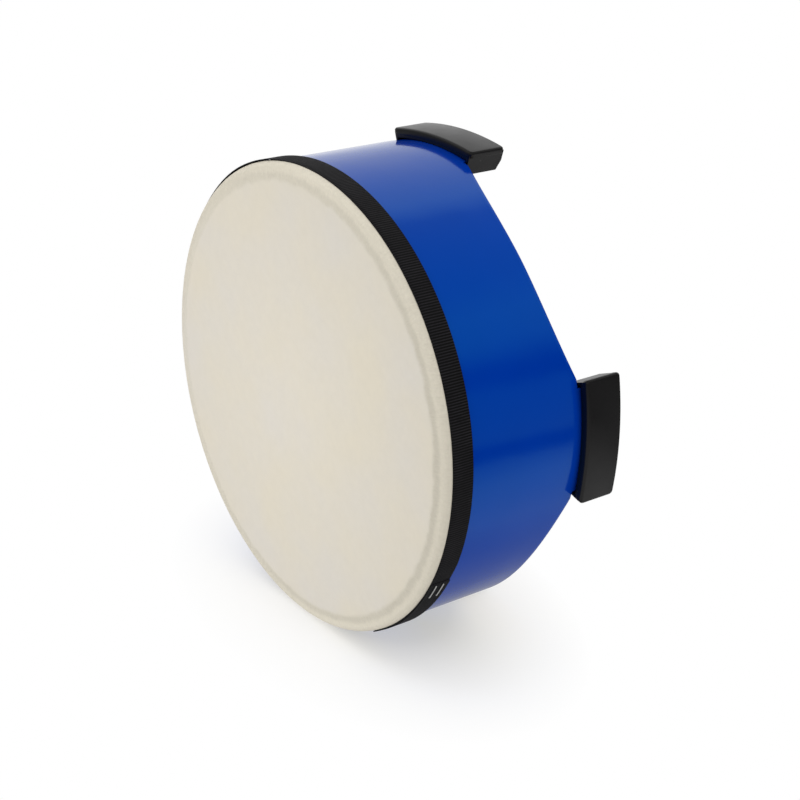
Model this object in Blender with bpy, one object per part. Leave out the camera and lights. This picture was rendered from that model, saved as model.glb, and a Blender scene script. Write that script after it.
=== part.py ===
"""Floor drum: a scalloped wooden shell on four moulded feet, with a wrapped skin head.

Units are metres, +Z up. The origin lies on the floor, under the middle of the drum.
"""
import bpy
import bmesh
from math import asin, cos, hypot, sin, pi, radians, sqrt
from mathutils import Matrix, Vector

# Overall and shell
DRUM_HEIGHT = 0.108
SHELL_RADIUS = 0.1251
SHELL_WALL = 0.0050
BEARING_LAND = 0.0006
ARCH_RISE = 0.0112
ARCH_FULLNESS = 2.4

# Skin head and the tape that covers its edge
SKIN_THICKNESS = 0.00055
SKIN_COVER = 0.0022
TAPE_WIDTH = 0.0122
TAPE_THICKNESS = 0.00065
TAPE_DROP = 0.0038
TAPE_ROLL = 0.0013
TAPE_OVERLAP = 0.0200
TAPE_RAMP = 0.0060
TAPE_END_ANGLE = radians(196.0)

# Staples
STAPLE_CROWN = 0.0114
STAPLE_WIRE = 0.00035
STAPLE_WIRE_WIDTH = 0.0008
STAPLE_BITE = 0.0030
STAPLE_PITCH = 0.0045
STAPLE_END_MARGIN = 0.0012
HEAD_STAPLE_COUNT = 12
HEAD_STAPLE_RAISE = 0.0018

# Feet, each bent about an upright axis of its own, flatter than the shell
FOOT_NAMES = ("back_right", "back_left", "front_left", "front_right")
FOOT_BEND = 0.1823
FOOT_LENGTH = 0.0680
FOOT_HEIGHT = 0.0228
FOOT_OUTER_WALL = 0.0052
FOOT_PLATE = 0.0040
FOOT_PLATE_RAISE = 0.0003
FOOT_LIP_STEP = 0.0010
FOOT_TOP_STEP = 0.0003
FOOT_END_WALL = 0.0025
FOOT_INNER_WALL = 0.0016
FOOT_SOLE = 0.0040
FOOT_SOLE_TAPER = 0.0023
FOOT_SOLE_FLAT = 0.0060
FOOT_PLATE_ROUND = 0.0012

# Screws that hold the feet, driven from inside the shell
SCREW_DIAMETER = 0.0035
SCREW_BITE = 0.0025
SCREW_HEAD_OVERHANG = 0.00175
SCREW_HEAD_HEIGHT = 0.0023
SCREW_CROWN_DIAMETER = 0.0042
SCREW_RECESS_WIDTH = 0.0010
SCREW_RECESS_SPAN = 0.0040
SCREW_RECESS_DEPTH = 0.0012

# Clearances
FIT_GAP = 0.0003
STAPLE_GAP = 0.0001
SKIN_GAP = 0.0001
CUT_PAST = 0.0020
MERGE_DISTANCE = 0.00001

# Fineness of round shapes
ROUND_STEPS = 96
EDGE_STEPS = 4
ARCH_STEPS = 8
TAB_STEPS = 6
LAP_STEPS = 4
PLATE_STEPS = 8
LIP_STEPS = 2
CROWN_STEPS = 2
SCREW_STEPS = 12
SHARP_ANGLE = radians(35)
LIP_ANGLE = radians(40)

# Shell, skin and tape sizes that follow from those above; a facet's middle lies ROUND_SAG inside its corners
ROUND_SAG = SHELL_RADIUS * (1 / cos(pi / ROUND_STEPS) - 1)
SHELL_BORE = SHELL_RADIUS - SHELL_WALL
SHELL_TOP = DRUM_HEIGHT - SKIN_THICKNESS - SKIN_GAP - ROUND_SAG
BEARING_RADIUS = SHELL_WALL - BEARING_LAND
BEARING_CENTER = (SHELL_RADIUS - BEARING_RADIUS, SHELL_TOP - BEARING_RADIUS)
SKIN_ROUND = BEARING_RADIUS + ROUND_SAG + SKIN_GAP
SKIN_INNER = BEARING_CENTER[0] + SKIN_ROUND
SKIN_OUTER = SKIN_INNER + SKIN_THICKNESS
TAPE_TOP = DRUM_HEIGHT - TAPE_DROP
TAPE_BOTTOM = TAPE_TOP - TAPE_WIDTH
SKIN_BOTTOM = TAPE_BOTTOM + SKIN_COVER
HEAD_STAPLE_INNER = SKIN_OUTER + STAPLE_GAP
HEAD_STAPLE_LEG = HEAD_STAPLE_INNER + STAPLE_WIRE - SHELL_RADIUS + STAPLE_BITE
TAPE_INNER = HEAD_STAPLE_INNER + STAPLE_WIRE + ROUND_SAG + STAPLE_GAP
TAPE_LIFT = TAPE_THICKNESS + STAPLE_GAP
TAPE_LAP_ANGLE = TAPE_OVERLAP / TAPE_INNER
TAPE_STAPLE_INNER = TAPE_INNER + TAPE_LIFT + TAPE_THICKNESS + STAPLE_GAP
TAPE_STAPLE_LEG = HEAD_STAPLE_LEG + TAPE_STAPLE_INNER - HEAD_STAPLE_INNER


def drum_turn(turn):
    """The turn about the drum's axis at which a turn about a foot's own axis meets the shell's outside."""
    return turn + asin(-FOOT_AXIS * sin(turn) / SHELL_RADIUS)


# Foot and screw sizes that follow from those above; radii and turns are about the foot's own axis,
# apart from those of the shell's tabs and arches, and a tab's flank slopes by TAB_FLANK
FOOT_REACH = SHELL_RADIUS + FIT_GAP + FOOT_OUTER_WALL
FOOT_AXIS = FOOT_REACH - FOOT_BEND
FOOT_PITCH = 2 * pi / len(FOOT_NAMES)
FOOT_HALF = FOOT_LENGTH / 2 / FOOT_BEND
PLATE_INNER = FOOT_BEND - FOOT_PLATE
BLOCK_HALF = FOOT_HALF - FOOT_LIP_STEP / FOOT_BEND
BLOCK_TOP = FOOT_HEIGHT - FOOT_TOP_STEP
SLOT_OUTER = FOOT_BEND - FOOT_OUTER_WALL
SLOT_HALF = BLOCK_HALF - FOOT_END_WALL / FOOT_BEND
TAB_FLANK = FIT_GAP / SHELL_RADIUS
TAB_HALF = drum_turn(SLOT_HALF) - FIT_GAP / SHELL_RADIUS - TAB_FLANK
ARCH_HALF = FOOT_PITCH / 2 - drum_turn(FOOT_HALF)
ARCH_SPRING = FOOT_HEIGHT + FIT_GAP
SLOT_INNER = hypot(SHELL_BORE * cos(TAB_HALF) - FOOT_AXIS, SHELL_BORE * sin(TAB_HALF)) - FIT_GAP
FOOT_INNER = SLOT_INNER - FOOT_INNER_WALL
SCREW_HEAD_SEAT = FOOT_INNER - FIT_GAP
SCREW_LENGTH = SLOT_OUTER + SCREW_BITE - SCREW_HEAD_SEAT
SCREW_RAISE = (FOOT_SOLE + BLOCK_TOP) / 2
SCREW_HALF_SPREAD = SLOT_HALF / 2


def clear_scene():
    """Remove every object that the scene starts with."""
    for obj in list(bpy.data.objects):
        bpy.data.objects.remove(obj, do_unlink=True)


def finish(name, color, roughness, metallic=0.0):
    """A plain Principled material."""
    material = bpy.data.materials.new(name)
    material.use_nodes = True
    shader = material.node_tree.nodes["Principled BSDF"]
    shader.inputs["Base Color"].default_value = (*color, 1.0)
    shader.inputs["Roughness"].default_value = roughness
    shader.inputs["Metallic"].default_value = metallic
    return material


def add_object(name, mesh, material=None):
    """Link a mesh into the scene as a named object."""
    obj = bpy.data.objects.new(name, mesh)
    bpy.context.scene.collection.objects.link(obj)
    if material:
        mesh.materials.append(material)
        mesh.shade_smooth()
        mesh.set_sharp_from_angle(angle=SHARP_ANGLE)
    return obj


def make_cutter(obj):
    """Mark an object as a construction shape that is not a piece of the drum."""
    obj.hide_render = True
    obj.display_type = 'WIRE'
    return obj


def polar(radius, angle, height):
    """A point given by its distance from the axis, its angle and its height."""
    return (radius * cos(angle), radius * sin(angle), height)


def spread(start, end, steps):
    """Evenly spaced values from start to end, both included."""
    return [start + (end - start) * i / steps for i in range(steps + 1)]


def sweep_into(bm, columns, closed):
    """Skin a row of equal outlines, joined end to end or capped at both ends."""
    rows = [[bm.verts.new(point) for point in column] for column in columns]
    count = len(rows[0])
    last = len(rows) if closed else len(rows) - 1
    for i in range(last):
        near = rows[i]
        far = rows[(i + 1) % len(rows)]
        for k in range(count):
            after = (k + 1) % count
            bm.faces.new((near[k], near[after], far[after], far[k]))
    if not closed:
        bm.faces.new(rows[0])
        bm.faces.new(rows[-1])


def mesh_from(name, bm):
    """Turn an edit mesh into a mesh with its faces pointing out."""
    bmesh.ops.recalc_face_normals(bm, faces=bm.faces)
    mesh = bpy.data.meshes.new(name)
    bm.to_mesh(mesh)
    bm.free()
    return mesh


def sweep(name, columns, closed=False, material=None):
    """One object made by skinning a row of outlines."""
    bm = bmesh.new()
    sweep_into(bm, columns, closed)
    return add_object(name, mesh_from(name, bm), material)


def sector(name, outline, half_angle, place, steps, material=None):
    """Sweep an outline of (radius, height) points through an arc about a placement's axis."""
    angles = spread(-half_angle, half_angle, steps)
    columns = [[polar(r, angle, z) for r, z in outline] for angle in angles]
    obj = sweep(name, columns, False, material)
    obj.matrix_world = place
    return obj


def turned(name, profile, steps, material):
    """Turn a profile about +Z with a Screw modifier."""
    mesh = bpy.data.meshes.new(name)
    edges = [(i, i + 1) for i in range(len(profile) - 1)]
    mesh.from_pydata([(r, 0.0, z) for r, z in profile], edges, [])
    obj = add_object(name, mesh)
    mesh.materials.append(material)
    screw = obj.modifiers.new("turn", 'SCREW')
    screw.steps = steps
    screw.render_steps = steps
    screw.use_merge_vertices = True
    screw.merge_threshold = MERGE_DISTANCE
    screw.use_smooth_shade = True
    return obj


def combine(obj, other, operation):
    """Join another shape to a piece, or cut it away, with an exact Boolean."""
    boolean = obj.modifiers.new(operation.lower(), 'BOOLEAN')
    boolean.operation = operation
    boolean.solver = 'EXACT'
    boolean.object = other


def bearing_round(radius):
    """Points over the rounded bearing edge, from the flat top to the upright side."""
    center_r, center_z = BEARING_CENTER
    turns = spread(0.0, pi / 2, EDGE_STEPS)
    return [(center_r + radius * sin(t), center_z + radius * cos(t)) for t in turns]


def skin_radius(height):
    """How far from the axis the outside of the skin lies, at a height on the bearing edge or below it."""
    center_r, center_z = BEARING_CENTER
    outer_round = SKIN_ROUND + SKIN_THICKNESS
    rise = max(height - center_z, 0.0)
    return center_r + sqrt(outer_round ** 2 - rise ** 2)


def feet():
    """The name and the direction of each foot, counted from +X."""
    return [(name, FOOT_PITCH * (i + 0.5)) for i, name in enumerate(FOOT_NAMES)]


def foot_frame(angle):
    """Placement of a foot's own axis: +X points outwards from the drum's axis."""
    return Matrix.Rotation(angle, 4, 'Z') @ Matrix.Translation((FOOT_AXIS, 0.0, 0.0))


def foot_screws():
    """The name and the placement of each foot screw, two to a foot: +Z of the screw points outwards."""
    screws = []
    for name, angle in feet():
        for side, turn in (("left", -SCREW_HALF_SPREAD), ("right", SCREW_HALF_SPREAD)):
            seat = Matrix.Translation(polar(SCREW_HEAD_SEAT, turn, SCREW_RAISE))
            outwards = Matrix.Rotation(turn, 4, 'Z') @ Matrix.Rotation(pi / 2, 4, 'Y')
            screws.append(("foot_screw_%s_%s" % (name, side), foot_frame(angle) @ seat @ outwards))
    return screws


def arch_height(reach):
    """Height of the lower rim, from the crown of an arch (0) to the foot beside it (1)."""
    return ARCH_SPRING + ARCH_RISE * (1 - reach ** ARCH_FULLNESS)


def rim_columns():
    """Angle and height of the shell's lower rim, all round: an arch, a shoulder and a tab for each foot."""
    columns = []
    for _, foot in feet():
        for reach in spread(0.0, 1.0, ARCH_STEPS):
            columns.append((foot - FOOT_PITCH / 2 + ARCH_HALF * reach, arch_height(reach)))
        columns.append((foot - TAB_HALF - TAB_FLANK, ARCH_SPRING))
        for angle in spread(-TAB_HALF, TAB_HALF, TAB_STEPS):
            columns.append((foot + angle, FOOT_SOLE + FIT_GAP))
        columns.append((foot + TAB_HALF + TAB_FLANK, ARCH_SPRING))
        for reach in spread(1.0, 0.0, ARCH_STEPS)[:-1]:
            columns.append((foot + FOOT_PITCH / 2 - ARCH_HALF * reach, arch_height(reach)))
    return columns


def build_shell(material, cutters):
    """The bent wooden shell, rounded over at the head and scalloped at the floor."""
    edge = bearing_round(BEARING_RADIUS)
    columns = []
    for angle, rim in rim_columns():
        outline = [(SHELL_BORE, rim), (SHELL_BORE, SHELL_TOP)] + edge + [(SHELL_RADIUS, rim)]
        columns.append([polar(r, angle, z) for r, z in outline])
    shell = sweep("shell", columns, True, material)
    for cutter in cutters:
        combine(shell, cutter, 'DIFFERENCE')
    return shell


def build_drum_head(material, cutters):
    """The skin: a flat membrane drawn over the bearing edge and down the outside of the shell."""
    outside = bearing_round(SKIN_ROUND + SKIN_THICKNESS)
    inside = bearing_round(SKIN_ROUND)
    profile = [(0.0, outside[0][1])] + outside + [(SKIN_OUTER, SKIN_BOTTOM), (SKIN_INNER, SKIN_BOTTOM)]
    profile += inside[::-1] + [(0.0, inside[0][1])]
    head = turned("drum_head", profile, ROUND_STEPS, material)
    for cutter in cutters:
        combine(head, cutter, 'DIFFERENCE')
    return head


def build_rim_tape(material, cutter):
    """The woven tape, once round the drum with its free end lapped over its start."""
    single = TAPE_LAP_ANGLE + TAPE_RAMP / TAPE_INNER
    tape_bend = TAPE_TOP - TAPE_ROLL
    draw_in = TAPE_INNER - skin_radius(TAPE_TOP) - ROUND_SAG - STAPLE_GAP
    arc = [(angle, TAPE_LIFT) for angle in spread(0.0, TAPE_LAP_ANGLE, LAP_STEPS)]
    arc += [(angle, 0.0) for angle in spread(single, 2 * pi + TAPE_LAP_ANGLE, ROUND_STEPS)]
    columns = []
    for angle, lift in arc:
        inner = TAPE_INNER + lift
        outer = inner + TAPE_THICKNESS
        outline = [(inner, TAPE_BOTTOM), (inner, tape_bend), (inner - draw_in, TAPE_TOP)]
        outline += [(outer - draw_in, TAPE_TOP), (outer, tape_bend), (outer, TAPE_BOTTOM)]
        columns.append([polar(r, TAPE_END_ANGLE - angle, z) for r, z in outline])
    tape = sweep("rim_tape", columns, False, material)
    combine(tape, cutter, 'DIFFERENCE')
    return tape


def staple_limits(inner, height, leg, spare):
    """Heights, radii and turns that bound a staple's crown and its two legs, grown by a spare gap."""
    half = STAPLE_CROWN / 2 / inner
    wire = STAPLE_WIRE / inner
    grow = spare / inner
    low = height - STAPLE_WIRE_WIDTH / 2 - spare
    high = height + STAPLE_WIRE_WIDTH / 2 + spare
    top = inner + STAPLE_WIRE
    tip = top - leg
    near = (tip, -half - grow, -half + wire + grow)
    far = (tip, half - wire - grow, half + grow)
    return low, high, top, near, far


def staple_into(bm, inner, angle, height, leg):
    """A wire staple: a flat crown across the face and two legs pointing at the drum's axis."""
    low, high, top, near, far = staple_limits(inner, height, leg, 0.0)
    tip, outside, inside = near
    over = spread(outside, far[2], CROWN_STEPS)
    under = spread(inside, far[1], CROWN_STEPS)
    path = [((tip, outside), (tip, inside))]
    path += [((top, a), (inner, b)) for a, b in zip(over, under)]
    path += [((tip, far[2]), (tip, far[1]))]
    columns = []
    for (outer_r, outer_a), (inner_r, inner_a) in path:
        columns.append([
            polar(outer_r, angle + outer_a, low), polar(outer_r, angle + outer_a, high),
            polar(inner_r, angle + inner_a, high), polar(inner_r, angle + inner_a, low)])
    sweep_into(bm, columns, False)


def leg_holes_into(bm, inner, angle, height, leg):
    """The two holes that a staple's legs stand in."""
    low, high, top, near, far = staple_limits(inner, height, leg, STAPLE_GAP)
    for tip, start, end in (near, far):
        columns = []
        for radius in (tip - STAPLE_GAP, top + CUT_PAST):
            columns.append([
                polar(radius, angle + start, low), polar(radius, angle + start, high),
                polar(radius, angle + end, high), polar(radius, angle + end, low)])
        sweep_into(bm, columns, False)


def head_staple_places():
    """Angle of each staple under the tape, clear of the lap and the pair that holds it."""
    step = (2 * pi - TAPE_LAP_ANGLE) / HEAD_STAPLE_COUNT
    return [TAPE_END_ANGLE + step * (i + 0.5) for i in range(HEAD_STAPLE_COUNT)]


def tape_staple_places():
    """Angle and height of the two staples through the lapped end of the tape."""
    inner = TAPE_STAPLE_INNER
    angle = TAPE_END_ANGLE - (STAPLE_END_MARGIN + STAPLE_CROWN / 2) / inner
    middle = (TAPE_TOP + TAPE_BOTTOM) / 2
    return [(angle, middle + STAPLE_PITCH / 2), (angle, middle - STAPLE_PITCH / 2)]


def head_staple_height():
    """Height of the staples that hold the skin, a little above its cut edge."""
    return SKIN_BOTTOM + HEAD_STAPLE_RAISE


def build_staples(material):
    """Staples under the tape that hold the skin, and the pair that holds the tape's end."""
    for i, angle in enumerate(head_staple_places()):
        name = "head_staple_%02d" % (i + 1)
        bm = bmesh.new()
        staple_into(bm, HEAD_STAPLE_INNER, angle, head_staple_height(), HEAD_STAPLE_LEG)
        add_object(name, mesh_from(name, bm), material)
    for name, (angle, height) in zip(("tape_staple_upper", "tape_staple_lower"), tape_staple_places()):
        bm = bmesh.new()
        staple_into(bm, TAPE_STAPLE_INNER, angle, height, TAPE_STAPLE_LEG)
        add_object(name, mesh_from(name, bm), material)


def build_staple_cutters():
    """Leg holes of the staples under the tape, and of the pair through the tape."""
    under = bmesh.new()
    for angle in head_staple_places():
        leg_holes_into(under, HEAD_STAPLE_INNER, angle, head_staple_height(), HEAD_STAPLE_LEG)
    through = bmesh.new()
    for angle, height in tape_staple_places():
        leg_holes_into(through, TAPE_STAPLE_INNER, angle, height, TAPE_STAPLE_LEG)
    head_holes = add_object("head_staple_holes", mesh_from("head_staple_holes", under))
    tape_holes = add_object("tape_staple_holes", mesh_from("tape_staple_holes", through))
    return make_cutter(head_holes), make_cutter(tape_holes)


def build_screw_cutter():
    """The holes that the foot screws pass through, all round the drum."""
    bm = bmesh.new()
    radius = SCREW_DIAMETER / 2 + FIT_GAP
    depth = SCREW_LENGTH + FIT_GAP + CUT_PAST
    lift = Matrix.Translation((0.0, 0.0, depth / 2 - CUT_PAST))
    for _, place in foot_screws():
        bmesh.ops.create_cone(
            bm, cap_ends=True, segments=SCREW_STEPS, radius1=radius, radius2=radius,
            depth=depth, matrix=place @ lift)
    return make_cutter(add_object("screw_holes", mesh_from("screw_holes", bm)))


def cross_outline(height):
    """The crossed recess of a screw head, as a closed outline at a height."""
    arm = SCREW_RECESS_SPAN / 2
    side = SCREW_RECESS_WIDTH / 2
    points = []
    for turns in range(4):
        turn = Matrix.Rotation(turns * pi / 2, 4, 'Z')
        for x, y in ((arm, -side), (arm, side), (side, side)):
            points.append(turn @ Vector((x, y, height)))
    return points


def build_screws(material):
    """Pan-head screws with a crossed recess, driven outwards through the shell into each foot."""
    shank = SCREW_DIAMETER / 2
    head = shank + SCREW_HEAD_OVERHANG
    crown = SCREW_CROWN_DIAMETER / 2
    recess_heights = (-SCREW_HEAD_HEIGHT - CUT_PAST, SCREW_RECESS_DEPTH - SCREW_HEAD_HEIGHT)
    profile = [(0.0, SCREW_LENGTH), (shank, SCREW_LENGTH), (shank, 0.0), (head, 0.0)]
    profile += [(head, -SCREW_HEAD_HEIGHT / 2), (crown, -SCREW_HEAD_HEIGHT), (0.0, -SCREW_HEAD_HEIGHT)]
    for name, place in foot_screws():
        recess = make_cutter(sweep(name + "_recess", [cross_outline(z) for z in recess_heights]))
        recess.matrix_world = place
        screw = turned(name, profile, SCREW_STEPS, material)
        screw.matrix_world = place
        combine(screw, recess, 'DIFFERENCE')


def build_feet(material, screw_holes):
    """Moulded caps: a curved outer plate on a channel that takes the shell's tab."""
    block_outer = FOOT_BEND - FOOT_PLATE / 2
    sole_start = block_outer - FOOT_SOLE_FLAT
    block = [(FOOT_INNER, FOOT_SOLE_TAPER), (FOOT_INNER, BLOCK_TOP), (block_outer, BLOCK_TOP)]
    block += [(block_outer, 0.0), (sole_start, 0.0)]
    plate = [(PLATE_INNER, FOOT_PLATE_RAISE), (PLATE_INNER, FOOT_HEIGHT)]
    plate += [(FOOT_BEND, FOOT_HEIGHT), (FOOT_BEND, FOOT_PLATE_RAISE)]
    above = FOOT_HEIGHT + CUT_PAST
    pocket = [(SLOT_INNER, FOOT_SOLE), (SLOT_INNER, above), (SLOT_OUTER, above), (SLOT_OUTER, FOOT_SOLE)]
    for name, angle in feet():
        place = foot_frame(angle)
        plate_piece = make_cutter(sector(name + "_plate", plate, FOOT_HALF, place, PLATE_STEPS))
        bevel = plate_piece.modifiers.new("rounded lip", 'BEVEL')
        bevel.width = FOOT_PLATE_ROUND
        bevel.segments = LIP_STEPS
        bevel.limit_method = 'ANGLE'
        bevel.angle_limit = LIP_ANGLE
        pocket_piece = make_cutter(sector(name + "_pocket", pocket, SLOT_HALF, place, TAB_STEPS))
        foot = sector("foot_" + name, block, BLOCK_HALF, place, TAB_STEPS, material)
        combine(foot, plate_piece, 'UNION')
        combine(foot, pocket_piece, 'DIFFERENCE')
        combine(foot, screw_holes, 'DIFFERENCE')


def build_drum():
    """Build every piece of the drum."""
    clear_scene()
    blue_lacquer = finish("blue_lacquer", (0.004, 0.048, 0.42), 0.22)
    rawhide = finish("rawhide", (0.66, 0.62, 0.51), 0.62)
    black_webbing = finish("black_webbing", (0.008, 0.008, 0.009), 0.85)
    black_plastic = finish("black_plastic", (0.010, 0.010, 0.012), 0.48)
    steel_wire = finish("steel_wire", (0.62, 0.62, 0.62), 0.30, 1.0)
    zinc_steel = finish("zinc_steel", (0.58, 0.58, 0.60), 0.34, 1.0)

    head_holes, tape_holes = build_staple_cutters()
    screw_holes = build_screw_cutter()
    build_shell(blue_lacquer, (head_holes, tape_holes, screw_holes))
    build_drum_head(rawhide, (head_holes, tape_holes))
    build_rim_tape(black_webbing, tape_holes)
    build_staples(steel_wire)
    build_feet(black_plastic, screw_holes)
    build_screws(zinc_steel)


build_drum()
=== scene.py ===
"""Dressing of the floor drum: lacquered shell, skin head, woven tape, moulded feet and fasteners.

Laid out as an add-on and run as a script. Units are metres, +Z up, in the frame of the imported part.
"""
import math
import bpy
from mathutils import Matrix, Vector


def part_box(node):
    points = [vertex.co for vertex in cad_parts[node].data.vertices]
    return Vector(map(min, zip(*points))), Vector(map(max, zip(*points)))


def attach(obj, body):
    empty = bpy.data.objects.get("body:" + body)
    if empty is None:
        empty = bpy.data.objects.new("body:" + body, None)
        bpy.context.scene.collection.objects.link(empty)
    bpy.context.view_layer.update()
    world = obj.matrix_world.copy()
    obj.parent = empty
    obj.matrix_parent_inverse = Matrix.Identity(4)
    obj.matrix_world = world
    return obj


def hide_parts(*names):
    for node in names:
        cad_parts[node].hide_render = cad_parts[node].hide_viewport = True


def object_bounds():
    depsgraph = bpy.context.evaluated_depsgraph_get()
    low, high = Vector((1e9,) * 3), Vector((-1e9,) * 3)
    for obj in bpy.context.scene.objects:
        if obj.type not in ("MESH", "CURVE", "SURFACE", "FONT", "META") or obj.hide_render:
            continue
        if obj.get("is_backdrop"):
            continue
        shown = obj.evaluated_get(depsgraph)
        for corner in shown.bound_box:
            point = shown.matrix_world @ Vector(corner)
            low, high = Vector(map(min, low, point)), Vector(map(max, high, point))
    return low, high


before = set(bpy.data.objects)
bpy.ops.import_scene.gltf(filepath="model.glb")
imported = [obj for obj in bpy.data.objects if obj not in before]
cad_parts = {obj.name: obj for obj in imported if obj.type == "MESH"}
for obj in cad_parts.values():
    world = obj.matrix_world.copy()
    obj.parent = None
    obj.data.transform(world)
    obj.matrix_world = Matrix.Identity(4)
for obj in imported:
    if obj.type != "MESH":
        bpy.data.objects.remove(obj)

from types import SimpleNamespace

import bpy
from mathutils import Matrix, Vector

bl_info = {
    "name": "Floor Drum",
    "version": (1, 0, 0),
    "blender": (4, 5, 0),
    "location": "View3D > Sidebar > Floor Drum",
    "description": "Models a low drum: a skin head on a lacquered wooden shell with moulded feet",
    "category": "Add Mesh",
}

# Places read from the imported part
CAD_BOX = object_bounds()
SHELL_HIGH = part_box("shell")[1]
HEAD_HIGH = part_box("drum_head")[1]
TAPE_LOW, TAPE_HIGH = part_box("rim_tape")
FOOT_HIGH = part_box("foot_front_right")[1]

# The feet stand on the diagonals, counted from +X
FOOT_TURNS = {"back_right": 45, "back_left": 135, "front_left": 225, "front_right": 315}
QUARTER_TURN = math.pi / 2
FULL_TURN = 2 * math.pi
MERGE_DISTANCE = 0.000002
# Room that the skin leaves over the shell's edge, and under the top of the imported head
UNDER_SKIN = 0.0002
OVER_SKIN = 0.0001
# Faces no further than this outside the bore are bare wood
BORE_MARGIN = 0.0002

# Fineness of the meshes
SHELL_STEPS = 360
SKIN_STEPS = 720
ROUND_STEPS = 10
RIB_STEPS = 4
TAPE_ROWS = 12
FOOT_CUTS = 34
SCREW_STEPS = 32
SKIN_RINGS = (0.02, 0.04, 0.06, 0.08, 0.095, 0.105, 0.111, 0.1135)

# The drum was photographed lying on its side: up there points this way in the drum's frame
LYING_UP = Vector((1.0, -1.0, -0.075)).normalized()
CAMERA_PLACE = Vector((-0.24329, -0.72200, 0.54885))
CAMERA_TURN = tuple(math.radians(angle) for angle in (-21.948, 53.562, -134.218))
CAMERA_LENS = 75.508
CAMERA_SENSOR = 36.0

# The distance from the drum's axis to the floor that it lies on
LYING_DEPTH = 0.1322

# How the hand-laid tape drifts up and down, and how close it lies, by the distance from its outer end
TAPE_RISES = (
    (0.0, 0.0), (0.010, 0.0), (0.085, -0.0026), (0.115, -0.0026), (0.42, 0.0008), (0.475, 0.0014),
    (0.50, 0.0013), (0.53, 0.0005), (0.62, 0.0))
TAPE_STANDS = (
    (0.0, 0.0001), (0.069, 0.0001), (0.074, -0.0004), (0.100, -0.0004), (0.115, 0.0), (0.780, 0.0),
    (0.792, -0.0004), (0.900, -0.0004))
# Where the tape's upper edge stands free of the skin, from 0 to 1, by the same distance
TAPE_FREE = ((0.42, 0.0), (0.47, 1.0), (0.50, 1.0), (0.52, 0.0))
# Where the covered end starts to curl, how soon it is fully curled, and how far down the curl reaches
CURL_START = 0.030
CURL_RUN = 0.020
CURL_DEPTH = 0.0025
YARN_PITCH = 0.00055

# Unevenness of the skin: swells along its ring, pleats over its edge and the raggedness of its tones
SWELL_HEIGHT = 0.00007
SWELL_WIDTH = 0.004
PLEAT_HEIGHT = 0.000022
RAGGEDNESS = 0.0035
# Grain is drawn on a small radius, so that it comes out long when it is wrapped round the wall
GRAIN_RADIUS = 0.012

# Softboxes: direction by right, front and top of the photo (none: straight behind), distance, power
LAMPS = (
    ("key_softbox", (-0.906, 0.406, -0.117), 1.0, "key"),
    ("fill_softbox", (0.722, 0.653, 0.229), 1.3, "fill"),
    ("top_softbox", (-0.335, 0.147, 0.931), 1.3, "over"),
    ("floor_bounce", (0.0, 0.1, -1.0), 1.3, "under"),
    ("back_softbox", None, 1.3, "behind"))
LAMP_SIZE = 0.8

# Ovals on the floor, in metres along and across the drum: where it runs out to white, and a warm tint
FLOOR_SIZE = 3.0
FADE_MIDDLE = (0.0516, -0.0033)
FADE_TURN = (0.981, 0.193)
FADE_REACH = (0.1059, 0.1687)
FADE_START = 0.365
TINT_MIDDLE = (0.050, 0.045)
TINT_REACH = (0.058, 0.088)
TINT_SHARES = (1.0, 0.88, 0.46)

# Brightness of the studio, by how far a direction leans up, across its panels' seams or to the sweep
SIDE_LEVELS = (
    (-0.78, 0.45), (-0.68, 0.78), (-0.48, 0.78), (-0.36, 0.50), (-0.25, 0.33), (0.13, 0.27),
    (0.30, 0.42), (0.44, 0.64), (0.58, 0.73), (0.72, 0.48), (0.90, 0.43))
UPPER_SEAM = (
    (-0.115, 1.0), (-0.085, 0.70), (-0.055, 0.0), (0.005, 0.0), (0.05, 0.40), (0.11, 0.85), (0.17, 1.0))
LOWER_SEAM = ((-0.405, 1.0), (-0.370, 0.0), (-0.320, 0.0), (-0.285, 1.0))
SEAM_SPAN = ((0.50, 1.0), (0.65, 0.0))
SHADE_LEVELS = ((0.30, 1.0), (0.60, 0.87), (0.80, 0.82), (0.90, 0.77), (0.96, 0.60), (1.0, 0.44))
SWEEP_LEVELS = ((0.70, 0.0), (0.79, 0.72), (0.85, 1.02), (1.0, 0.90))


def linear(hex_colour):
    """Linear red, green and blue of an sRGB hex colour."""
    values = [int(hex_colour[i:i + 2], 16) / 255 for i in (1, 3, 5)]
    return tuple(v / 12.92 if v <= 0.04045 else ((v + 0.055) / 1.055) ** 2.4 for v in values)


def length_setting(name, description, default):
    """A size that a user may change."""
    return bpy.props.FloatProperty(
        name=name, description=description, default=default, min=0.0, precision=5, unit='LENGTH')


def colour_setting(name, description, hex_colour):
    """A colour that a user may change, given as sRGB hex."""
    return bpy.props.FloatVectorProperty(
        name=name, description=description, default=linear(hex_colour), size=3, min=0.0, max=1.0,
        subtype='COLOR')


def level_setting(name, description, default):
    """A plain number that a user may change."""
    return bpy.props.FloatProperty(name=name, description=description, default=default, min=0.0)


def angle_setting(name, description, degrees):
    """A direction about the drum's axis that a user may change, given in degrees."""
    return bpy.props.FloatProperty(
        name=name, description=description, default=math.radians(degrees), subtype='ANGLE')


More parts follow.
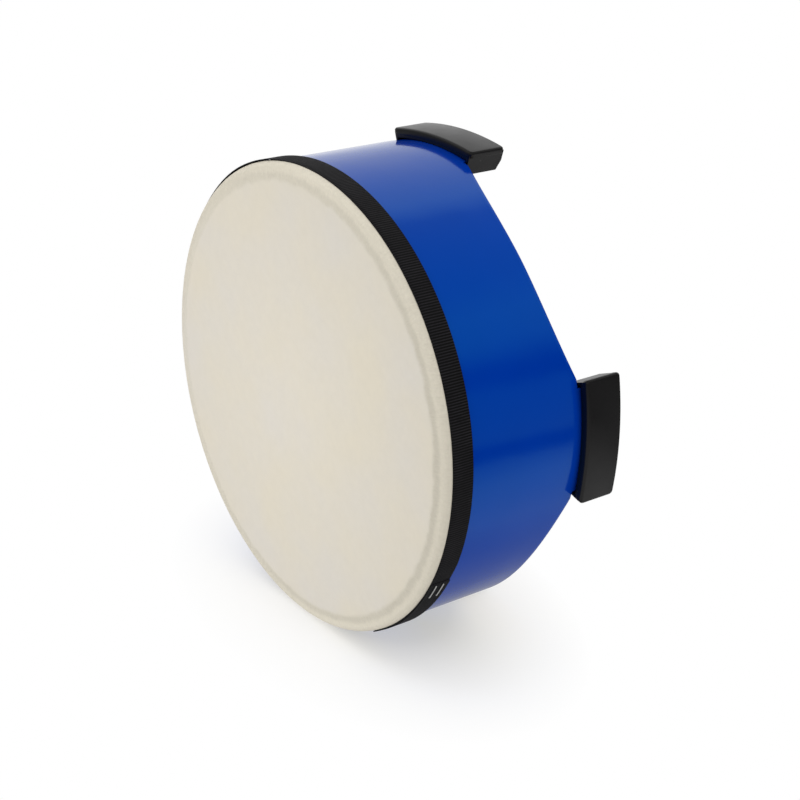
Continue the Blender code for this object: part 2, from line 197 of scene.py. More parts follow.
class ShellSettings(bpy.types.PropertyGroup):
    """Sizes and colours of the wooden shell."""
    radius: length_setting("Radius", "Outside radius of the shell", SHELL_HIGH.x)
    wall: length_setting("Wall", "Thickness of the bent plywood", 0.0050)
    land: length_setting("Land", "Flat left at the inner side of the bearing edge", 0.0024)
    spring: length_setting("Spring", "Height at which an arch meets a foot", FOOT_HIGH.z + 0.0003)
    rise: length_setting("Rise", "Height of an arch above its springing", 0.0112)
    fullness: level_setting("Fullness", "How square the arches are, 2 being a parabola", 2.4)
    eased: length_setting("Eased edge", "Rounding of the lower rim's edges", 0.0007)
    paint: colour_setting("Paint", "Blue of the lacquer", "#0036A4")
    shine: colour_setting("Shine", "Tint of the lacquer's reflections", "#00EAFF")
    wood: colour_setting("Wood", "Pale veneer inside the shell", "#D2B48C")


class SkinSettings(bpy.types.PropertyGroup):
    """Sizes and colours of the skin head."""
    thickness: length_setting("Thickness", "Thickness of the skin", 0.00055)
    drop: length_setting("Drop", "How far the skin slopes down to its shoulder", 0.00095)
    ring: length_setting("Ring radius", "Where the tight membrane ends and the slope starts", 0.1152)
    # Painted shade: the turn at which the skin's edge is painted darkest
    painted_shade_turn: angle_setting("Grey turn", "Where round the head the edge is greyest", -130)
    shoulder: length_setting("Shoulder radius", "Where the slope ends", 0.1220)
    bend: length_setting("Bend", "Radius of the skin's turn over the shell's edge", 0.0031)
    tuck: length_setting("Tuck", "Height of skin left uncovered at the tape's lower edge", 0.0022)
    cream: colour_setting("Cream", "Colour of the tight membrane", "#E1DBD0")
    horn: colour_setting("Horn", "Yellower colour of the skin over the edge", "#DED7C6")


class TapeSettings(bpy.types.PropertyGroup):
    """Sizes and colours of the woven tape."""
    standoff: length_setting("Stand-off", "Gap between skin and tape that the staples fill", 0.00052)
    thickness: length_setting("Thickness", "Thickness of the tape", 0.00045)
    overlap: length_setting("Overlap", "Length over which the tape's ends lap", 0.0695)
    step: length_setting("Step", "Length over which the tape comes down from the lap", 0.0040)
    trim: length_setting("Trim", "How far the upper edge lies below the edge of the packed tape", 0.0005)
    roll: length_setting("Roll", "Height over which the upper edge is drawn in", 0.0016)
    draw_in: length_setting("Draw-in", "How far the upper edge is drawn in", 0.00050)
    curl: length_setting("Curl", "How far the free corner of the inner end stands out", 0.0004)
    rib_pitch: length_setting("Rib pitch", "Distance between the ribs of the weave", 0.00135)
    rib_height: length_setting("Rib height", "Height of the ribs of the weave", 0.00016)
    end_turn: angle_setting("End", "Direction of the tape's cut end", 196)
    black: colour_setting("Black", "Colour of the yarn on the ribs", "#272629")


class FootSettings(bpy.types.PropertyGroup):
    """Sizes and colours of the moulded feet."""
    length: length_setting("Length", "Length along the outside of the foot", 0.0680)
    bend: length_setting("Bend", "Radius of the outside about the foot's own axis", 0.1823)
    outer_wall: length_setting("Outer wall", "Wall outside the shell, plate included", 0.0052)
    plate: length_setting("Plate", "Thickness of the outer plate", 0.0040)
    lip_step: length_setting("Lip step", "How far the plate stands past the channel's ends", 0.0010)
    top_step: length_setting("Top step", "How far the plate stands above the channel", 0.0003)
    end_wall: length_setting("End wall", "Wall at each end of the channel", 0.0025)
    inner_wall: length_setting("Inner wall", "Wall inside the shell", 0.0016)
    sole: length_setting("Sole", "Thickness of plastic under the shell", 0.0040)
    sole_taper: length_setting("Sole taper", "How far the sole rises towards the inside", 0.0023)
    sole_flat: length_setting("Sole flat", "Depth of the face that stands on the floor", 0.0060)
    fit: length_setting("Fit", "Gap between shell and channel", 0.0003)
    corner: length_setting("Corner", "Rounding of the plate's corners", 0.0024)
    lip: length_setting("Lip", "Rounding of the plate's outer edge", 0.0015)
    eased: length_setting("Eased edge", "Rounding of the other edges", 0.0004)
    lean: level_setting("Lean", "Slope of the ends, which come closer together towards the drum", 0.20)
    black: colour_setting("Black", "Colour of the plastic", "#070607")


class FastenerSettings(bpy.types.PropertyGroup):
    """Sizes and colours of the staples and screws."""
    crown: length_setting("Staple crown", "Length of a staple", 0.0107)
    wire: length_setting("Staple wire", "Thickness of the staple wire", 0.00035)
    wire_width: length_setting("Staple width", "Width of the flattened wire", 0.0008)
    margin: length_setting("Staple margin", "Distance from the tape's end to a staple", 0.0012)
    clear: length_setting("Staple gap", "Gap between tape and staple", 0.0001)
    leg: length_setting("Staple leg", "Length of a staple's legs", 0.0058)
    shank: length_setting("Screw shank", "Diameter of a screw", 0.0035)
    screw_length: length_setting("Screw length", "Length of a screw under its head", 0.0110)
    head: length_setting("Screw head", "Diameter of a screw's pan head", 0.0070)
    head_height: length_setting("Head height", "Height of a screw's pan head", 0.0023)
    recess: length_setting("Recess", "Span of the crossed recess", 0.0040)
    recess_width: length_setting("Recess width", "Width of the crossed recess", 0.0010)
    recess_depth: length_setting("Recess depth", "Depth of the crossed recess", 0.0012)
    steel: colour_setting("Steel", "Bright galvanised wire", "#F1F1EE")
    zinc: colour_setting("Zinc", "Zinc plate on the screws", "#C9CBD0")


class StageSettings(bpy.types.PropertyGroup):
    """Light levels and the floor."""
    key: level_setting("Key", "Watts of the lamp that faces the head", 4.2)
    fill: level_setting("Fill", "Watts of the lamp that faces the shell", 5.95)
    over: level_setting("Over", "Watts of the lamp above the lying drum", 4.8)
    under: level_setting("Under", "Watts of the floor's bounce", 2.3)
    behind: level_setting("Behind", "Watts of the lamp that lights the far side", 12.0)
    floor_gain: level_setting("Floor gain", "Reflectance of the lit floor", 0.559)
    floor_glow: level_setting("Floor glow", "White that the floor shows even in shadow", 0.432)


class FloorDrumSettings(bpy.types.PropertyGroup):
    """All that a user may change."""
    shell: bpy.props.PointerProperty(type=ShellSettings)
    skin: bpy.props.PointerProperty(type=SkinSettings)
    tape: bpy.props.PointerProperty(type=TapeSettings)
    foot: bpy.props.PointerProperty(type=FootSettings)
    fastener: bpy.props.PointerProperty(type=FastenerSettings)
    stage: bpy.props.PointerProperty(type=StageSettings)


# Modelling

def name_piece(name):
    """Name the object that was just added, and its mesh."""
    piece = bpy.context.object
    piece.name = name
    piece.data.name = name
    return piece


def draw_chain(points):
    """Draw a chain of edges through points, and stay in edit mode with its last vertex selected."""
    bpy.ops.object.select_all(action='DESELECT')
    bpy.ops.mesh.primitive_plane_add(size=1.0)
    bpy.ops.object.mode_set(mode='EDIT')
    bpy.ops.mesh.select_mode(type='VERT')
    bpy.ops.mesh.merge(type='CENTER')
    bpy.ops.transform.translate(value=points[0])
    for before, after in zip(points, points[1:]):
        step = Vector(after) - Vector(before)
        bpy.ops.mesh.extrude_region_move(TRANSFORM_OT_translate={"value": step})


def close_mesh():
    """Merge doubles and turn the faces outwards, then leave edit mode."""
    bpy.ops.mesh.select_all(action='SELECT')
    bpy.ops.mesh.remove_doubles(threshold=MERGE_DISTANCE)
    bpy.ops.mesh.normals_make_consistent(inside=False)
    bpy.ops.object.mode_set(mode='OBJECT')


def turned(name, profile, steps, capped=False):
    """Spin a profile of (radius, height) points once round +Z; capped ends are closed to the axis."""
    if capped:
        profile = [(0.0, profile[0][1]), *profile, (0.0, profile[-1][1])]
    draw_chain([(radius, 0.0, height) for radius, height in profile])
    bpy.ops.object.mode_set(mode='OBJECT')
    piece = name_piece(name)
    modify(piece, 'SCREW', angle=FULL_TURN, steps=steps, render_steps=steps, use_merge_vertices=True,
           merge_threshold=MERGE_DISTANCE)
    bpy.ops.object.mode_set(mode='EDIT')
    close_mesh()
    return piece


def extruded(name, outline, half_length):
    """Push a closed outline of (y, z) points along X, the same way to both sides."""
    draw_chain([(-half_length, y, z) for y, z in outline])
    bpy.ops.mesh.select_all(action='SELECT')
    bpy.ops.mesh.edge_face_add()
    bpy.ops.mesh.extrude_region_move(TRANSFORM_OT_translate={"value": (2 * half_length, 0, 0)})
    close_mesh()
    return name_piece(name)


def bevel_edges(piece, wanted, width, segments):
    """Round the edges whose two ends pass a test."""
    mesh = piece.data
    bpy.ops.object.mode_set(mode='EDIT')
    bpy.ops.mesh.select_mode(type='EDGE')
    bpy.ops.mesh.select_all(action='DESELECT')
    bpy.ops.object.mode_set(mode='OBJECT')
    for edge in mesh.edges:
        edge.select = wanted(*(mesh.vertices[i].co for i in edge.vertices))
    bpy.ops.object.mode_set(mode='EDIT')
    bpy.ops.mesh.bevel(offset=width, segments=segments, affect='EDGES')
    bpy.ops.object.mode_set(mode='OBJECT')


def cut_across(places):
    """Cut the active piece square to X at each place, so that it can be bent."""
    bpy.ops.object.mode_set(mode='EDIT')
    for x in places:
        bpy.ops.mesh.select_all(action='SELECT')
        bpy.ops.mesh.bisect(plane_co=(x, 0, 0), plane_no=(1, 0, 0))
    close_mesh()


def modify(piece, kind, **values):
    """Add a modifier with some values and apply it."""
    bpy.ops.object.select_all(action='DESELECT')
    piece.select_set(True)
    bpy.context.view_layer.objects.active = piece
    modifier = piece.modifiers.new(kind.lower(), kind)
    for key, value in values.items():
        setattr(modifier, key, value)
    bpy.ops.object.modifier_apply(modifier=modifier.name)


def combine(piece, other, operation):
    """Join another shape to a piece or cut it away, and drop that shape."""
    modify(piece, 'BOOLEAN', object=other, operation=operation, solver='EXACT')
    bpy.data.objects.remove(other)


def reshape(piece, place):
    """Move every vertex to where a function puts it."""
    for vertex in piece.data.vertices:
        vertex.co = place(vertex.co)
    piece.data.update()


def on_arc(turn, radius, axis=0.0):
    """A function that bends a straight piece, X along it and Y outwards, round an upright axis on X."""
    def place(point):
        angle = turn - point.x / radius
        return (axis + point.y * math.cos(angle), point.y * math.sin(angle), point.z)
    return place


def copy_piece(piece, name, matrix):
    """A copy of a piece with its own mesh, moved by a matrix."""
    copy = piece.copy()
    copy.data = piece.data.copy()
    copy.name = name
    copy.data.name = name
    copy.data.transform(matrix)
    bpy.context.collection.objects.link(copy)
    return copy


def dress(piece, material, nodes, smooth=35):
    """Give a finished piece its shading, material, body and the nodes that it stands for."""
    bpy.ops.object.select_all(action='DESELECT')
    piece.select_set(True)
    bpy.context.view_layer.objects.active = piece
    bpy.ops.object.shade_smooth_by_angle(angle=math.radians(smooth))
    if not piece.data.materials:
        piece.data.materials.append(material)
    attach(piece, "root")
    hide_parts(*nodes)


# Materials

def feed(tree, node, inputs):
    """Set a node's inputs, or link those given a socket, or a node for its first live output."""
    for key, value in inputs.items():
        if isinstance(value, bpy.types.Node):
            value = next(output for output in value.outputs if output.enabled)
        if isinstance(value, bpy.types.NodeSocket):
            tree.links.new(value, node.inputs[key])
        else:
            node.inputs[key].default_value = value


def add(tree, kind, inputs=None, **settings):
    """Add a shader node of a kind, with its settings and inputs."""
    made = tree.nodes.new("ShaderNode" + kind)
    for key, value in settings.items():
        setattr(made, key, value)
    feed(tree, made, inputs or {})
    return made


def new_material(name):
    """An empty Principled material: the material, its tree and its shader."""
    material = bpy.data.materials.new(name)
    material.use_nodes = True
    return material, material.node_tree, material.node_tree.nodes["Principled BSDF"]


def per_mm(size):
    """Texture scale, per metre, for a feature of a size in millimetres."""
    return 1000.0 / size


def shade_of(colour, factor):
    """A colour made lighter or darker, with an alpha of 1."""
    return (*(min(value * factor, 1.0) for value in colour), 1.0)


def calc(tree, operation, *values):
    """Add a sum on plain numbers."""
    return add(tree, "Math", dict(enumerate(values)), operation=operation)


def remap(tree, value, old, new=(0.0, 1.0), **settings):
    """Move a value from an old range to a new one, and hold it there."""
    return add(tree, "MapRange", {
        "Value": value, "From Min": old[0], "From Max": old[1], "To Min": new[0], "To Max": new[1]},
        **settings)


def blend(tree, share, first, second):
    """Mix two colours by the share of the second."""
    return add(tree, "Mix", {"Factor": share, "A": first, "B": second}, data_type='RGBA')


def noise(tree, place, size, detail, roughness=0.5, distortion=0.0):
    """Add clouds of a size in millimetres."""
    return add(tree, "TexNoise", {
        "Vector": place, "Scale": per_mm(size), "Detail": detail, "Roughness": roughness,
        "Distortion": distortion})


def relief(tree, height, strength, distance, *under):
    """Bump the surface, over the normal of another bump if there is one."""
    inputs = {"Height": height, "Strength": strength, "Distance": distance}
    inputs.update(("Normal", normal) for normal in under)
    return add(tree, "Bump", inputs)


def blue_lacquer(paint, shine):
    """Sprayed gloss enamel on plywood: deep even blue, a clear reflection with slight orange peel."""
    material, tree, shader = new_material("blue_gloss_enamel")
    place = add(tree, "TexCoord").outputs["Object"]
    cloud = noise(tree, place, 35, 3.0)
    tint = blend(tree, cloud, shade_of(paint, 0.95), shade_of(paint, 1.06))
    nibs = add(tree, "TexVoronoi", {"Vector": place, "Scale": per_mm(16)})
    nib_size = remap(tree, nibs, (0.012, 0.020), (0.22, 0.0))
    speckled = blend(tree, nib_size, tint, (*linear("#C4CEE0"), 1.0))
    gloss = remap(tree, cloud, (0.0, 1.0), (0.09, 0.15))
    peel = noise(tree, place, 2.4, 2.0)
    wave = noise(tree, place, 28, 1.0)
    fine = relief(tree, peel, 0.25, 0.00006)
    broad = relief(tree, wave, 0.35, 0.0006, fine)
    feed(tree, shader, {
        "Base Color": speckled, "Roughness": gloss, "Normal": broad, "IOR": 1.50,
        "Specular Tint": (*shine, 1.0)})
    return material


def around(tree, place):
    """Turn of a point about the drum's axis, its distance from the axis, and its height."""
    parts = add(tree, "SeparateXYZ", {"Vector": place})
    x, y, z = parts.outputs
    turn = calc(tree, 'ARCTAN2', y, x)
    flat = add(tree, "VectorMath", {0: place, 1: (1.0, 1.0, 0.0)}, operation='MULTIPLY')
    radius = add(tree, "VectorMath", {0: flat}, operation='LENGTH')
    return turn, radius, z


def veneer(wood):
    """Rotary-cut birch veneer, sanded and left bare: pale, matt, with fine grain round the drum."""
    material, tree, shader = new_material("bare_birch_veneer")
    place = add(tree, "TexCoord").outputs["Object"]
    turn, radius, height = around(tree, place)
    along = calc(tree, 'MULTIPLY', turn, GRAIN_RADIUS)
    grain_place = add(tree, "CombineXYZ", {"X": along, "Y": height, "Z": radius})
    grain = noise(tree, grain_place, 1.6, 5.0, roughness=0.6)
    figure = noise(tree, grain_place, 9, 2.0, distortion=0.6)
    both = calc(tree, 'MULTIPLY', grain, figure)
    ramp = remap(tree, both, (0.12, 0.40))
    colour = blend(tree, ramp, shade_of(wood, 0.66), shade_of(wood, 1.08))
    bump = relief(tree, grain, 0.4, 0.0002)
    feed(tree, shader, {"Base Color": colour, "Normal": bump, "Roughness": 0.68})
    return material


def rawhide(skin):
    """Scraped natural skin, dried tight: matt cream, faintly clouded, yellow and pleated at its edge,
    with painted light in the middle and painted shade at the edge.
    """
    material, tree, shader = new_material("scraped_rawhide")
    place = add(tree, "TexCoord").outputs["Object"]
    turn, radius, _ = around(tree, place)
    cloud = noise(tree, place, 55, 3.0, roughness=0.5)
    fibre = noise(tree, place, 5, 4.0, roughness=0.6)
    cloud_step = remap(tree, cloud, (0.32, 0.68))
    warm = blend(tree, cloud_step, shade_of(skin.cream, 0.99), (*linear("#E3DBC9"), 1.0))
    # Painted light: the colour is made lighter where light would come through the skin with no wood
    # behind it, most in the middle
    lit = remap(tree, radius, (0.02, skin.ring), (1.025, 0.975))
    speck = remap(tree, fibre, (0.3, 0.7), (0.985, 1.012))
    level = calc(tree, 'MULTIPLY', lit, speck)
    membrane = add(tree, "VectorMath", {0: warm, "Scale": level}, operation='SCALE')
    # Pleats run over the edge, a millimetre or two apart, in a crease greyed partly by grime and partly
    # by painted shade, and a yellower roll
    pleat_place = calc(tree, 'MULTIPLY', turn, skin.shoulder)
    pleat_vector = add(tree, "CombineXYZ", {"X": pleat_place, "Y": radius})
    stretched = add(tree, "Mapping", {"Vector": pleat_vector, "Scale": (1.0, 0.4, 1.0)})
    pleat = noise(tree, stretched, 1.3, 3.0, distortion=1.2)
    blotch = noise(tree, place, 7, 2.0)
    ragged = calc(tree, 'MULTIPLY_ADD', blotch, RAGGEDNESS, radius)
    crease = remap(
        tree, ragged, (skin.ring + 0.0015, skin.ring + 0.0045), interpolation_type='SMOOTHSTEP')
    roll = remap(
        tree, ragged, (skin.shoulder - 0.0012, skin.shoulder + 0.0014), interpolation_type='SMOOTHSTEP')
    # Painted shade: the edge is painted greyest at one turn, the side away from the light, and opposite
    # it, where the light falls, the crease and the roll hardly show
    near = calc(tree, 'SUBTRACT', turn, skin.painted_shade_turn)
    nearness = calc(tree, 'COSINE', near)
    painted_side_light = remap(tree, nearness, (0.3, 1.0), (1.045, 0.965))
    painted_turn_shade = remap(tree, nearness, (-0.6, 0.1), (0.90, 1.0))
    edge_painted_shade = calc(tree, 'MULTIPLY', painted_side_light, painted_turn_shade)
    shaded_side_share = remap(tree, nearness, (-1.0, -0.3), (0.2, 1.0))
    shaded_side_crease = calc(tree, 'MULTIPLY', crease, shaded_side_share)
    # Painted shade: the crease's colour is darkened, and both edge colours are made lighter or darker by
    # their turn
    grime_and_shade_edge = add(tree, "VectorMath", {
        0: shade_of(skin.horn, 0.885)[:3], "Scale": painted_side_light}, operation='SCALE')
    pale_edge = add(tree, "VectorMath", {0: tuple(skin.horn), "Scale": edge_painted_shade}, operation='SCALE')
    creased = blend(tree, shaded_side_crease, membrane, grime_and_shade_edge)
    shaded_side_roll = calc(tree, 'MULTIPLY', roll, shaded_side_share)
    rolled = blend(tree, shaded_side_roll, creased, pale_edge)
    # Painted shade and light: the colour darkens and lightens along the pleats in the crease
    fold = remap(tree, pleat, (0.3, 0.7), (-0.04, 0.03))
    shade = calc(tree, 'MULTIPLY_ADD', fold, crease, 1.0)
    colour = add(tree, "VectorMath", {0: rolled, "Scale": shade}, operation='SCALE')
    pleat_height = calc(tree, 'MULTIPLY', pleat, crease)
    folds = relief(tree, pleat_height, 0.8, 0.0006)
    grain = noise(tree, place, 0.9, 3.0)
    pores = relief(tree, grain, 0.2, 0.0001, folds)
    feed(tree, shader, {
        "Base Color": colour, "Normal": pores, "Roughness": 0.62, "Specular IOR Level": 0.35})
    return material


def grosgrain(tape, ribs):
    """Woven polyester tape: matt black, thick ribs across it, fine yarns along it, hardly any sheen,
    with painted shade between the ribs.
    """
    material, tree, shader = new_material("black_grosgrain")
    uv = add(tree, "TexCoord").outputs["UV"]
    parts = add(tree, "SeparateXYZ", {"Vector": uv})
    along, across, _ = parts.outputs
    rib_turn = calc(tree, 'MULTIPLY', along, ribs * FULL_TURN)
    rib = calc(tree, 'COSINE', rib_turn)
    crest = remap(tree, rib, (-0.1, 0.9))
    yarn_count = (TAPE_HIGH.z - TAPE_LOW.z) / YARN_PITCH
    yarn_turn = calc(tree, 'MULTIPLY', across, yarn_count * FULL_TURN)
    yarn = calc(tree, 'SINE', yarn_turn)
    place = add(tree, "TexCoord").outputs["Object"]
    fuzz = noise(tree, place, 0.8, 3.0)
    wear = noise(tree, place, 14, 2.0)
    level = calc(tree, 'MULTIPLY', fuzz, wear)
    spread = remap(tree, level, (0.12, 0.38))
    colour = blend(tree, spread, shade_of(tape.black, 0.7), shade_of(tape.black, 1.25))
    # Painted shade: the hollows between the ribs are painted nearly black
    ribs_painted_shade = blend(tree, crest, shade_of(tape.black, 0.10), colour)
    mixed = calc(tree, 'ADD', yarn, fuzz)
    bump = relief(tree, mixed, 0.5, 0.00008)
    feed(tree, shader, {
        "Base Color": ribs_painted_shade, "Normal": bump, "Roughness": 0.6, "Specular IOR Level": 0.12})
    return material


def moulded_plastic(black):
    """Moulded polypropylene: satin black with a fine spark-eroded grain, and a few specks of dust."""
    material, tree, shader = new_material("black_moulded_plastic")
    place = add(tree, "TexCoord").outputs["Object"]
    cloud = noise(tree, place, 11, 4.0)
    tint = blend(tree, cloud, shade_of(black, 0.8), shade_of(black, 1.25))
    dust = add(tree, "TexVoronoi", {"Vector": place, "Scale": per_mm(9)})
    dust_size = remap(tree, dust, (0.020, 0.045), (0.55, 0.0))
    dusty = blend(tree, dust_size, tint, (*linear("#B3B3B1"), 1.0))
    rough = remap(tree, cloud, (0.0, 1.0), (0.26, 0.40))
    grain = noise(tree, place, 0.7, 2.0)
    bump = relief(tree, grain, 0.3, 0.00008)
    feed(tree, shader, {"Base Color": dusty, "Roughness": rough, "Normal": bump, "IOR": 1.42})
    return material


def bright_metal(name, colour, low, high, streak):
    """Plated steel: a soft metallic reflection, streaked by its making at a size in millimetres."""
    material, tree, shader = new_material(name)
    place = add(tree, "TexCoord").outputs["Object"]
    cloud = noise(tree, place, streak, 3.0)
    tint = blend(tree, cloud, shade_of(colour, 0.8), shade_of(colour, 1.1))
    rough = remap(tree, cloud, (0.0, 1.0), (low, high))
    bump = relief(tree, cloud, 0.2, 0.00003)
    feed(tree, shader, {"Base Color": tint, "Roughness": rough, "Normal": bump, "Metallic": 1.0})
    return material


# Shapes of the pieces

def foot_form(shell, foot):
    """A foot's own axis, its walls about that axis, and the turns of it and its tab on the shell."""
    axis = shell.radius + foot.fit + foot.outer_wall - foot.bend
    block_half = foot.length / 2 - foot.lip_step
    slot_half = block_half - foot.end_wall

    def shell_turn(length):
        turn = length / foot.bend
        return turn + math.asin(-axis * math.sin(turn) / shell.radius)

    tab_turn = shell_turn(slot_half) - 2 * foot.fit / shell.radius
    bore = shell.radius - shell.wall
    corner = math.hypot(bore * math.cos(tab_turn) - axis, bore * math.sin(tab_turn))
    slot_inner = corner - foot.fit
    return SimpleNamespace(
        axis=axis, half=foot.length / 2, block_half=block_half, slot_half=slot_half,
        slot_outer=foot.bend - foot.outer_wall, slot_inner=slot_inner,
        inside=slot_inner - foot.inner_wall, tab_turn=tab_turn, end_turn=shell_turn(foot.length / 2))


def rim_height(angle, shell, foot, form):
    """Height of the shell's lower edge: an arch between each two feet, and a tab inside each foot."""
    away = abs(angle % QUARTER_TURN - QUARTER_TURN / 2)
    if away < form.tab_turn - FULL_TURN / SHELL_STEPS:
        return foot.sole + foot.fit
    if away < form.end_turn:
        return shell.spring
    reach = (QUARTER_TURN / 2 - away) / (QUARTER_TURN / 2 - form.end_turn)
    return shell.spring + shell.rise * (1 - reach ** shell.fullness)


def arc_points(center, radius, start, end, steps):
    """Points on an arc in the (radius, height) plane, with angles counted from outwards to up."""
    turns = [start + (end - start) * i / steps for i in range(steps + 1)]
    return [(center[0] + radius * math.cos(t), center[1] + radius * math.sin(t)) for t in turns]


class FLOORDRUM_OT_shell(bpy.types.Operator):
    """Model the bent plywood shell, rounded at the head and arched at the floor"""
    bl_idname = "floor_drum.add_shell"
    bl_label = "Add Shell"

    def execute(self, context):
        drum = context.scene.floor_drum
        shell = drum.shell
        outer, bore = shell.radius, shell.radius - shell.wall
        top = SHELL_HIGH.z - drum.skin.drop - UNDER_SKIN
        eased, hold = shell.eased, 3 * shell.eased
        edge = shell.wall - shell.land
        # The lower rim is drawn at a level of its own and then follows the arches
        level = shell.spring
        profile = arc_points((outer - eased, level + eased), eased, 0, -QUARTER_TURN, 3)[::-1]
        profile += [(outer, level + hold), (outer, top - edge - hold)]
        profile += arc_points((outer - edge, top - edge), edge, 0, QUARTER_TURN, ROUND_STEPS)
        profile += [(bore, top), (bore, top - hold), (bore, level + hold)]
        profile += arc_points((bore + eased, level + eased), eased, math.pi, 1.5 * math.pi, 3)
        piece = turned("lacquered_shell", profile + profile[:1], SHELL_STEPS)

        form = foot_form(shell, drum.foot)

        def follow_arches(point):
            if point.z > level + 1.5 * hold:
                return point
            rim = rim_height(math.atan2(point.y, point.x), shell, drum.foot, form)
            return (point.x, point.y, point.z + rim - level)

        reshape(piece, follow_arches)
        piece.data.materials.append(blue_lacquer(shell.paint, shell.shine))
        piece.data.materials.append(veneer(shell.wood))
        for face in piece.data.polygons:
            middle = face.center.xy
            inside = middle.length < bore + BORE_MARGIN and middle.dot(face.normal.xy) < 0
            face.material_index = 1 if inside else 0
        dress(piece, None, ["shell"])
        return {'FINISHED'}


class FLOORDRUM_OT_skin(bpy.types.Operator):
    """Model the skin: a tight membrane that slopes to its edge, turns over it and is pleated there"""
    bl_idname = "floor_drum.add_skin"
    bl_label = "Add Skin Head"

    def execute(self, context):
        drum = context.scene.floor_drum
        skin = drum.skin
        top, outer, thickness = HEAD_HIGH.z - OVER_SKIN, HEAD_HIGH.x, skin.thickness
        upper = [(radius, top) for radius in SKIN_RINGS]
        width = skin.shoulder - skin.ring
        for i in range(2 * ROUND_STEPS + 1):
            share = i / (2 * ROUND_STEPS)
            upper.append((skin.ring + width * share, top - skin.drop * share * share * (3 - 2 * share)))
        lower = [(radius, height - thickness) for radius, height in upper]
        center = (outer - skin.bend, top - skin.drop - skin.bend)
        upper += arc_points(center, skin.bend, QUARTER_TURN, 0, ROUND_STEPS)
        lower += arc_points(center, skin.bend - thickness, QUARTER_TURN, 0, ROUND_STEPS)
        hem = TAPE_LOW.z + skin.tuck
        profile = upper + [(outer, hem), (outer - thickness, hem)] + lower[::-1]
        piece = turned("skin_head", profile, SKIN_STEPS, capped=True)

        def pull_tight(point):
            radius = point.xy.length
            if radius < skin.ring - 3 * SWELL_WIDTH:
                return point
            angle = math.atan2(point.y, point.x)
            swell = 0.6 * math.sin(5 * angle + 0.7) + 0.4 * math.sin(11 * angle + 2.1)
            pleat = math.sin(83 * angle) * math.sin(7 * angle + 1.3) + 0.7 * math.sin(131 * angle + 0.5)
            near_ring = math.exp(-((radius - skin.ring - SWELL_WIDTH / 2) / SWELL_WIDTH) ** 2)
            over_edge = min(max((radius - skin.ring) / width, 0.0), 1.0)
            drop = SWELL_HEIGHT * (swell - 1) * near_ring + PLEAT_HEIGHT * pleat * over_edge
            return (point.x, point.y, point.z + drop)

        reshape(piece, pull_tight)
        dress(piece, rawhide(skin), ["drum_head"])
        return {'FINISHED'}


def level_at(place, levels):
    """Height at a place along a row of (place, height) stops, with smooth steps between them."""
    for (start, low), (end, high) in zip(levels, levels[1:]):
        if start <= place < end:
            share = (place - start) / (end - start)
            return low + (high - low) * share * share * (3 - 2 * share)
    return 0.0


class FLOORDRUM_OT_tape(bpy.types.Operator):
    """Weave the ribbed tape flat, then lap it once round the drum"""
    bl_idname = "floor_drum.add_tape"
    bl_label = "Add Tape"

    def execute(self, context):
        tape = context.scene.floor_drum.tape
        width = TAPE_HIGH.z - TAPE_LOW.z
        radius = HEAD_HIGH.x + tape.standoff
        length = FULL_TURN * radius + tape.overlap
        ribs = round(length / tape.rib_pitch)
        bpy.ops.object.select_all(action='DESELECT')
        bpy.ops.mesh.primitive_grid_add(
            x_subdivisions=ribs * RIB_STEPS, y_subdivisions=TAPE_ROWS, size=1.0)
        piece = name_piece("woven_tape")
        bpy.ops.object.mode_set(mode='EDIT')
        bpy.ops.mesh.select_all(action='SELECT')
        bpy.ops.transform.resize(value=(length, width, 1.0))
        bpy.ops.transform.translate(value=(length / 2, width / 2, 0.0))
        bpy.ops.object.mode_set(mode='OBJECT')
        modify(piece, 'SOLIDIFY', thickness=tape.thickness, offset=1.0)

        def wrap(point):
            along, down, out = point
            # Past the lap the upper edge is drawn in against the skin
            single = min(max((along - tape.overlap) / tape.step, 0.0), 1.0)
            drawn = single * max(1 - down / tape.roll, 0.0) ** 2 * (1 - level_at(along, TAPE_FREE))
            rib = 0.0
            if out > tape.thickness / 2:
                selvedge = min(down, width - down) / width
                rib = tape.rib_height * (math.cos(FULL_TURN * along / tape.rib_pitch) - 1)
                rib *= min(selvedge * 14, 1.0)
            angle = tape.end_turn - along / radius
            stand = level_at(along, TAPE_STANDS)
            reach = radius + out + rib / 2 + stand * (1 - drawn) - tape.draw_in * drawn
            # The inner end curls out a little where the lap leaves its upper edge free
            curl = min(max((along - length + CURL_START) / CURL_RUN, 0.0), 1.0)
            reach += tape.curl * curl * max(1 - down / CURL_DEPTH, 0.0)
            height = TAPE_HIGH.z - tape.trim * (1 - down / width) - down + level_at(along, TAPE_RISES)
            return (reach * math.cos(angle), reach * math.sin(angle), height)

        reshape(piece, wrap)
        dress(piece, grosgrain(tape, length / tape.rib_pitch), ["rim_tape"], smooth=60)
        return {'FINISHED'}


